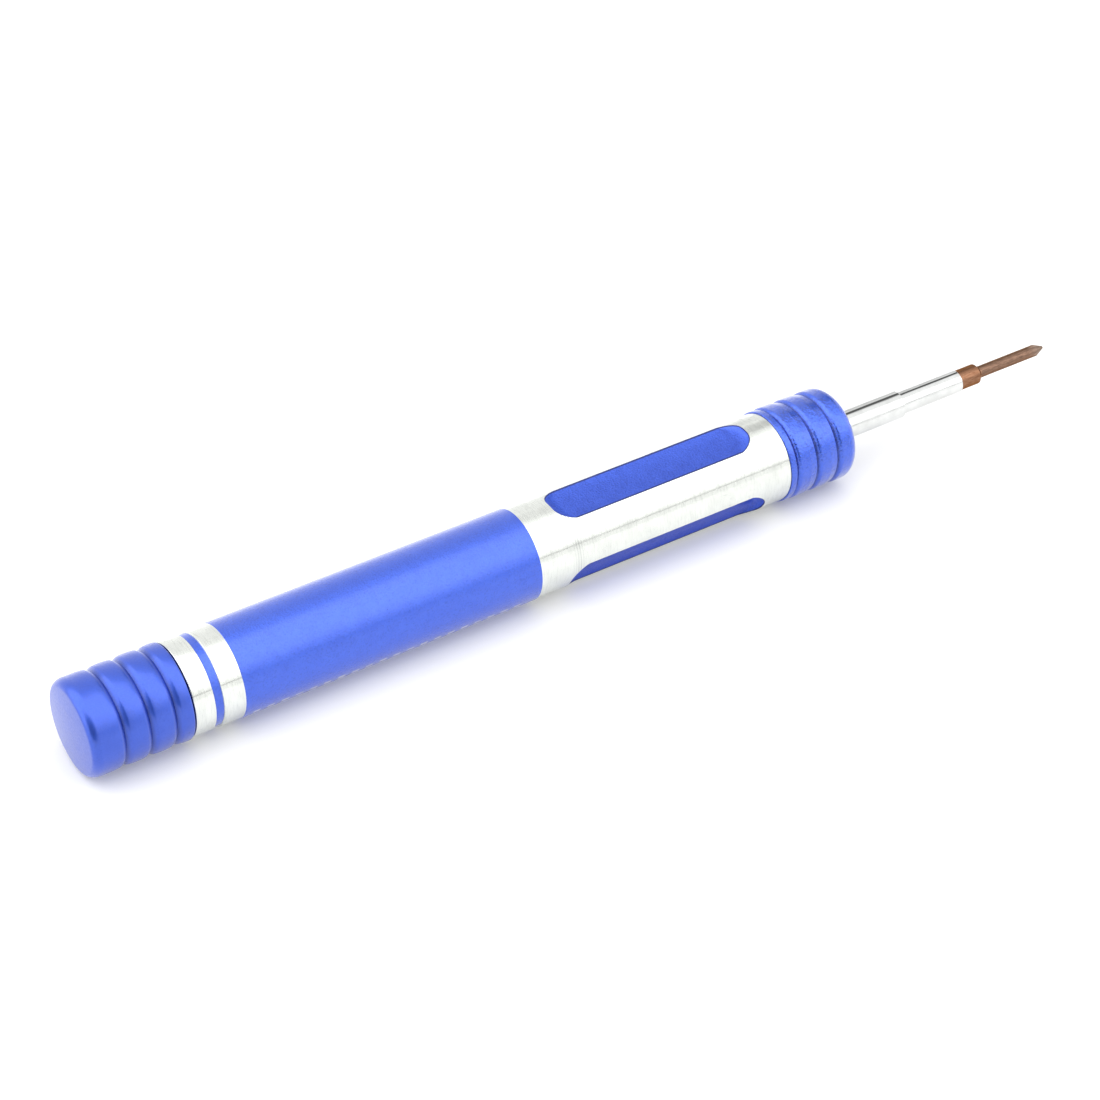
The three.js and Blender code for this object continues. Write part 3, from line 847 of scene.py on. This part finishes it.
def turned_aluminium():
    """Bright-turned aluminium: fine rings, one band of chatter, smudges and a few scratches."""
    finish = Finish(
        "bright_turned_aluminium", Metallic=1.0, Anisotropic=0.9, Anisotropic_Rotation=0.25,
    )
    finish.tangent_around()
    rings = finish.noise((4.5, 0.7, 0.7), detail=4)
    smudge = finish.noise(per_mm(ROUND_GRAIN, 0.45), detail=5, shift=2.2)
    wide_rings = finish.noise(per_mm(RINGS, 0.9), detail=2, shift=6.3)
    scratch_field = finish.noise((0.9, 4.5, 3.0), detail=1, shift=9.1)
    off_line = finish.math("ABSOLUTE", finish.math("SUBTRACT", scratch_field, 0.62))
    patch = finish.noise(per_mm(ROUND_GRAIN, 0.3), detail=1, shift=12.4)
    few = finish.band(patch, 0.55, 0.6, 0, 1)
    scratch = finish.math("MULTIPLY", finish.band(off_line, 0.006, 0.0, 0, 1), few)
    station = finish.station()
    wave = finish.math("SINE", finish.math("MULTIPLY", station, 2 * math.pi / CHATTER_PITCH))
    away = finish.math("ABSOLUTE", finish.math("SUBTRACT", station, CHATTER_STATION))
    near = finish.math("SUBTRACT", 1, finish.math("MINIMUM", away, 1))
    chatter = finish.math("MULTIPLY", finish.band(wave, -1, 1, 0, 1), near)
    clean = finish.band(smudge, 0.25, 0.6, 0, 1)
    colour = finish.mix(ALUMINIUM_DARK, ALUMINIUM_LIGHT, clean)
    colour = finish.mix(colour, WIDE_RING_COLOUR, finish.band(wide_rings, 0.4, 0.7, 0, 0.3))
    colour = finish.mix(colour, RING_COLOUR, finish.band(rings, 0.48, 0.7, 0, 0.35))
    colour = finish.mix(colour, SCRATCH_COLOUR, finish.math("MULTIPLY", scratch, 0.6))
    colour = finish.mix(colour, CHATTER_COLOUR, finish.math("MULTIPLY", chatter, 0.75))
    rough = finish.math("ADD", finish.spread(smudge, 0.17, 0.12), finish.spread(rings, 0, 0.06))
    normal = finish.bump(rings, 0.0022)
    normal = finish.bump(chatter, 0.012, normal)
    normal = finish.bump(scratch, -0.006, normal)
    return finish.wear(colour, rough, normal)


def drawn_steel():
    """Bright plated steel: fine lengthwise drawing lines that make its reflections waver."""
    finish = Finish("bright_drawn_steel", Metallic=1.0)
    lines = finish.noise((0.05, 6, 6), detail=3)
    long_wave = finish.noise((0.12, 1.3, 1.3), detail=2, shift=3.3)
    smudge = finish.noise(per_mm(ROUND_GRAIN, 0.6), detail=4, shift=7.7)
    colour = finish.mix(STEEL_DARK, STEEL_LIGHT, finish.band(smudge, 0.3, 0.65, 0, 1))
    colour = finish.mix(colour, DRAWN_LINE_COLOUR, finish.band(lines, 0.55, 0.75, 0, 0.6))
    rough = finish.math("ADD", finish.spread(smudge, 0.05, 0.03), finish.spread(lines, 0, 0.03))
    normal = finish.bump(lines, 0.009)
    normal = finish.bump(long_wave, 0.02, normal)
    return finish.wear(colour, rough, normal)


def bronze_steel():
    """Brown heat-treated tool steel, smoother on the body and worn greyer along the blade."""
    finish = Finish("bronze_heat_treated_steel", Metallic=1.0, Specular_Tint=BRONZE_GLANCE)
    station = finish.station()
    on_blade = finish.band(station, BIT_BODY_END - 0.1, BIT_BODY_END + 0.4, 0, 1)
    near_tip = finish.band(station, BLADE_END - 1.5, TIP_END, 0, 0.75)
    patches = finish.noise((1.3, 6, 6), detail=5)
    grain = finish.noise(per_mm(ROUND_GRAIN, 7), detail=3, shift=2.6)
    rings = finish.noise(per_mm(RINGS, 10), detail=2, shift=5.5)
    body = finish.mix(BODY_DARK, BODY_LIGHT, finish.spread(patches, 0, 1))
    blade = finish.mix(BLADE_DARK, BLADE_LIGHT, finish.spread(patches, 0, 1))
    colour = finish.mix(body, blade, on_blade)
    colour = finish.mix(colour, WORN_TIP_COLOUR, near_tip)
    colour = finish.mix(colour, SCALE_COLOUR, finish.band(grain, 0.62, 0.8, 0, 0.6))
    rougher_blade = finish.math("MULTIPLY", on_blade, 0.08)
    rough = finish.math("ADD", finish.spread(patches, 0.36, 0.26), rougher_blade)
    normal = finish.bump(grain, 0.006)
    normal = finish.bump(rings, 0.003, normal)
    return finish.wear(colour, rough, normal)


def worked_metal(name, dark, light, roughness, lines_each_way, line_depth):
    """A plainer inner metal with its own tool marks, stains and roughness."""
    finish = Finish(name, Metallic=1.0)
    lines = finish.noise(lines_each_way, detail=3)
    stain = finish.noise(per_mm(ROUND_GRAIN, 1.1), detail=5, shift=3.9)
    grain = finish.noise(per_mm(ROUND_GRAIN, 8), detail=2, shift=8.2)
    colour = finish.mix(dark, light, finish.spread(stain, 0, 1))
    colour = finish.mix(colour, dark, finish.band(lines, 0.55, 0.8, 0, 0.7))
    rough = finish.math(
        "ADD",
        finish.spread(lines, roughness - 0.04, roughness + 0.05),
        finish.spread(grain, -0.02, 0.03),
    )
    normal = finish.bump(lines, line_depth)
    normal = finish.bump(grain, 0.002, normal)
    return finish.wear(colour, rough, normal)


blue = anodised(
    "blue_anodised_satin", BLUE_DARK, BLUE_LIGHT,
    grain_depth=0.06, line_depth=0.001, roughness=0.36, ticks=True,
)
# The cap and the collar get painted shade in the roots of their grooves.
cap_blue = anodised(
    "blue_anodised_smooth", CAP_DARK, CAP_LIGHT,
    grain_depth=0.018, line_depth=0.003, roughness=0.4, coat=0.85,
    grooves=(CAP_FIRST_GROOVE - GROOVE_SHADE_REACH, CAP_LAST_GROOVE + GROOVE_SHADE_REACH, CAP_R, CAP_GROOVE_SHADE),
)
collar_blue = anodised(
    "blue_anodised_coarse", BLUE_DARK, BLUE_LIGHT,
    grain_depth=0.14, line_depth=0.006, roughness=0.2, grains_per_mm=3,
    grooves=(
        COLLAR_FIRST_GROOVE - GROOVE_SHADE_REACH / 2, COLLAR_LAST_GROOVE + GROOVE_SHADE_REACH, COLLAR_R, COLLAR_GROOVE_SHADE,
    ),
)
# The flats get a painted dark line of shade round their edges.
flat_blue = anodised(
    "blue_anodised_blasted", FLAT_DARK, FLAT_LIGHT,
    grain_depth=0.1, line_depth=0.001, roughness=0.4, coat=0.25,
    rim=GRIP_R, Specular_Tint=FLAT_GLANCE,
)
bright = turned_aluminium()
steel = drawn_steel()
bronze = bronze_steel()
black_oxide = worked_metal(
    "black_oxide", (0.02, 0.02, 0.022), (0.06, 0.06, 0.065),
    roughness=0.4, lines_each_way=per_mm(RINGS, 8), line_depth=0.003,
)
brass = worked_metal(
    "turned_brass", (0.42, 0.29, 0.11), (0.68, 0.5, 0.23),
    roughness=0.28, lines_each_way=per_mm(RINGS, 12), line_depth=0.003,
)
bearing = worked_metal(
    "ground_bearing_steel", (0.4, 0.41, 0.43), (0.62, 0.64, 0.67),
    roughness=0.2, lines_each_way=per_mm(RINGS, 14), line_depth=0.002,
)
pressed = worked_metal(
    "pressed_sheet_steel", (0.28, 0.28, 0.3), (0.46, 0.47, 0.5),
    roughness=0.34, lines_each_way=(3, 5, 1), line_depth=0.003,
)
polished = worked_metal(
    "polished_ball_steel", (0.62, 0.63, 0.65), (0.8, 0.81, 0.83),
    roughness=0.08, lines_each_way=(6, 2, 9), line_depth=0.0006,
)


# ---------------------------------------------------------------- assembly

def dress(piece, material):
    piece.data.materials.clear()
    piece.data.materials.append(material)
    return piece


handle = make_handle(blue, bright, flat_blue)
PIECES = [
    (dress(make_cap(), cap_blue), "cap", "swivel_cap", "blue_anodised_aluminium"),
    (handle, "handle", "handle_body", "blue_anodised_aluminium"),
    (dress(make_collar(), collar_blue), "handle", "nose_collar", "blue_anodised_aluminium"),
    (dress(make_sleeve(), steel), "handle", "shank_sleeve", "bright_shank_steel"),
    (dress(make_holder(), steel), "handle", "bit_holder", "bright_shank_steel"),
    (dress(make_bit(), bronze), "handle", "driver_bit", "bronze_tool_steel"),
    (dress(make_screw(), black_oxide), "handle", "axle_screw", "black_oxide_steel"),
    (dress(make_spacer(), brass), "handle", "axle_spacer", "washer_brass"),
    (dress(make_outer_ring(), bearing), "cap", "bearing_outer_ring", "bearing_steel"),
    (dress(make_inner_ring(), bearing), "handle", "bearing_inner_ring", "bearing_steel"),
]
for node in ("bearing_shield_rear", "bearing_shield_front"):
    PIECES.append((dress(make_shield(node), pressed), "cap", node, "pressed_steel"))
PIECES.append((dress(make_cage(), pressed), "cage", "ball_cage", "pressed_steel"))
for number in range(1, BALLS + 1):
    ball = dress(make_ball(number), polished)
    PIECES.append((ball, f"ball_{number}", f"bearing_ball_{number}", "ball_steel"))

for piece, body, node, slot in PIECES:
    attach(piece, body)
    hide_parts(node)

# ---------------------------------------------------------------- studio

FLOOR_SIZE = 6.0
FLOOR_COLOUR = (0.71, 0.71, 0.71, 1)
FLOOR_GLOW = 0.18

TENT_LEVEL = 1.2
TENT_BACK_LEVEL = 1.104
TENT_BACK_DEG = (95, 115)
TENT_LOW_BACK_RISE = 0.06
TENT_LOW_BACK_DEG = (150, 170)
SOFTBOX_LEVEL = 2.3
SOFTBOX_FROM_DEG = 26
SOFTBOX_TO_DEG = 94
SOFTBOX_FRONT_EDGE_DEG = 16
SOFTBOX_BACK_EDGE_DEG = 12
SOFTBOX_TURN_X = 0.35
SOFTBOX_TURN_DEG = 60
SOFTBOX_STEP_X = (0.44, 0.51)
SOFTBOX_STEP_DEG = 26
GAP_DEG = 12
GAP_HALF_WIDTH_DEG = 0.8
GAP_SHADE = 0.7
TIP_HALF_X = (0.518, 0.528)
BACK_STRIP_DEG = 129
BACK_STRIP_HALF_WIDTH_DEG = 13
BACK_STRIP_SHADE = 0.88
LOW_STRIP_DEG = 168
LOW_STRIP_HALF_WIDTH_DEG = 16
LOW_STRIP_SHADE = 0.32
PATCH_DIRECTION = Vector((-0.45, -0.79, 0.42)).normalized()
PATCH_OUTER_DEG = 37
PATCH_INNER_DEG = 20
PATCH_SHADE = 0.9
END_FADE_X = (0.9, 0.75)


def make_floor():
    half = FLOOR_SIZE / 2
    bm = bmesh.new()
    signs = ((-1, -1), (1, -1), (1, 1), (-1, 1))
    bm.faces.new([bm.verts.new((x * half, y * half, 0)) for x, y in signs])
    floor = link("studio_floor", finish_mesh(bm, "studio_floor"))
    material = bpy.data.materials.new("pale_floor")
    material.use_nodes = True
    shader = material.node_tree.nodes["Principled BSDF"]
    shader.inputs["Base Color"].default_value = FLOOR_COLOUR
    shader.inputs["Emission Color"].default_value = (1, 1, 1, 1)
    shader.inputs["Emission Strength"].default_value = FLOOR_GLOW
    shader.inputs["Roughness"].default_value = 0.8
    shader.inputs["Specular IOR Level"].default_value = 0.1
    floor.data.materials.append(material)


def make_world():
    """A light tent round the tool's axis. A long softbox hangs above and in front, reaches
    further back towards the cap than towards the tip, and has a thin dark gap under it. The
    back is dimmer. A soft dark patch stands where the photographer does, and the shank
    mirrors two dark strips behind its own half. The dark shapes fade out at the two ends.
    Angles run about +X from the front horizon (0) over the top (90) to the back (180)."""
    world = bpy.data.worlds.new("light_tent")
    world.use_nodes = True
    tree = world.node_tree

    def add(kind, inputs=None, **settings):
        node = tree.nodes.new(kind)
        for setting, value in settings.items():
            setattr(node, setting, value)
        for socket, value in (inputs or {}).items():
            if isinstance(value, bpy.types.NodeSocket):
                tree.links.new(value, node.inputs[socket])
            else:
                node.inputs[socket].default_value = value
        return node

    def calc(operation, *values):
        return add("ShaderNodeMath", dict(enumerate(values)), operation=operation).outputs[0]

    def ease(value, low, high, to_low=0.0, to_high=1.0):
        inputs = {"Value": value, "From Min": low, "From Max": high}
        inputs.update({"To Min": to_low, "To Max": to_high})
        return add("ShaderNodeMapRange", inputs, interpolation_type="SMOOTHSTEP").outputs["Result"]

    def strip(value, middle, half_width):
        away = calc("ABSOLUTE", calc("SUBTRACT", value, middle))
        return ease(away, half_width * 1.4, half_width * 0.6)

    direction = add("ShaderNodeTexCoord").outputs["Generated"]
    axes = add("ShaderNodeSeparateXYZ", {"Vector": direction}).outputs
    turn = calc("ARCTAN2", axes["Z"], calc("MULTIPLY", axes["Y"], -1))
    angle = calc("MULTIPLY", turn, 180 / math.pi)

    lean = calc("MULTIPLY", calc("SUBTRACT", SOFTBOX_TURN_X, axes["X"]), SOFTBOX_TURN_DEG)
    back_angle = calc("SUBTRACT", angle, calc("MAXIMUM", lean, 0))
    back_angle = calc("ADD", back_angle, ease(axes["X"], *SOFTBOX_STEP_X, 0, SOFTBOX_STEP_DEG))
    front_low = SOFTBOX_FROM_DEG - SOFTBOX_FRONT_EDGE_DEG
    front_high = SOFTBOX_FROM_DEG + SOFTBOX_FRONT_EDGE_DEG
    back_low = SOFTBOX_TO_DEG + SOFTBOX_BACK_EDGE_DEG
    back_high = SOFTBOX_TO_DEG - SOFTBOX_BACK_EDGE_DEG / 2
    softbox_front = ease(angle, front_low, front_high)
    softbox = calc("MULTIPLY", softbox_front, ease(back_angle, back_low, back_high))
    tent = ease(angle, *TENT_BACK_DEG, TENT_LEVEL, TENT_BACK_LEVEL)
    tent = calc("ADD", tent, ease(angle, *TENT_LOW_BACK_DEG, 0, TENT_LOW_BACK_RISE))
    level = calc("ADD", calc("MULTIPLY", calc("SUBTRACT", SOFTBOX_LEVEL, tent), softbox), tent)

    tip_half = ease(axes["X"], *TIP_HALF_X)
    gap = calc("MULTIPLY", strip(angle, GAP_DEG, GAP_HALF_WIDTH_DEG), GAP_SHADE)
    back_strip = calc("MULTIPLY", strip(angle, BACK_STRIP_DEG, BACK_STRIP_HALF_WIDTH_DEG), tip_half)
    back_strip = calc("MULTIPLY", back_strip, BACK_STRIP_SHADE)
    low_strip = calc("MULTIPLY", strip(angle, LOW_STRIP_DEG, LOW_STRIP_HALF_WIDTH_DEG), tip_half)
    low_strip = calc("MULTIPLY", low_strip, LOW_STRIP_SHADE)
    facing = add("ShaderNodeVectorMath", {0: direction, 1: PATCH_DIRECTION}, operation="DOT_PRODUCT")
    outer = math.cos(math.radians(PATCH_OUTER_DEG))
    inner = math.cos(math.radians(PATCH_INNER_DEG))
    patch = ease(facing.outputs["Value"], outer, inner, 0.0, PATCH_SHADE)
    off_ends = ease(calc("ABSOLUTE", axes["X"]), *END_FADE_X)
    for shape in (gap, back_strip, low_strip, patch):
        level = calc("MULTIPLY", level, calc("SUBTRACT", 1, calc("MULTIPLY", shape, off_ends)))
    background = tree.nodes["Background"]
    background.inputs["Color"].default_value = (1, 1, 1, 1)
    tree.links.new(level, background.inputs["Strength"])
    bpy.context.scene.world = world


CAMERA_PLACE = Vector((-167.965, -247.165, 230.787)) * MM
CAMERA_RIGHT = Vector((0.83778, -0.54600, 0))
CAMERA_UP = Vector((0.33199, 0.50940, 0.79390))
LENS_MM = 98.18
SENSOR_MM = 36


def make_camera():
    data = bpy.data.cameras.new("camera")
    data.lens = LENS_MM
    data.sensor_width = SENSOR_MM
    data.clip_start = 0.01
    camera = link("camera", data)
    right = CAMERA_RIGHT.normalized()
    up = CAMERA_UP.normalized()
    back = right.cross(up)
    turn = Matrix((right, up, back)).transposed()
    camera.matrix_world = Matrix.Translation(CAMERA_PLACE) @ turn.to_4x4()
    bpy.context.scene.camera = camera


make_floor()
make_world()
make_camera()
bpy.context.scene.view_settings.view_transform = "Standard"
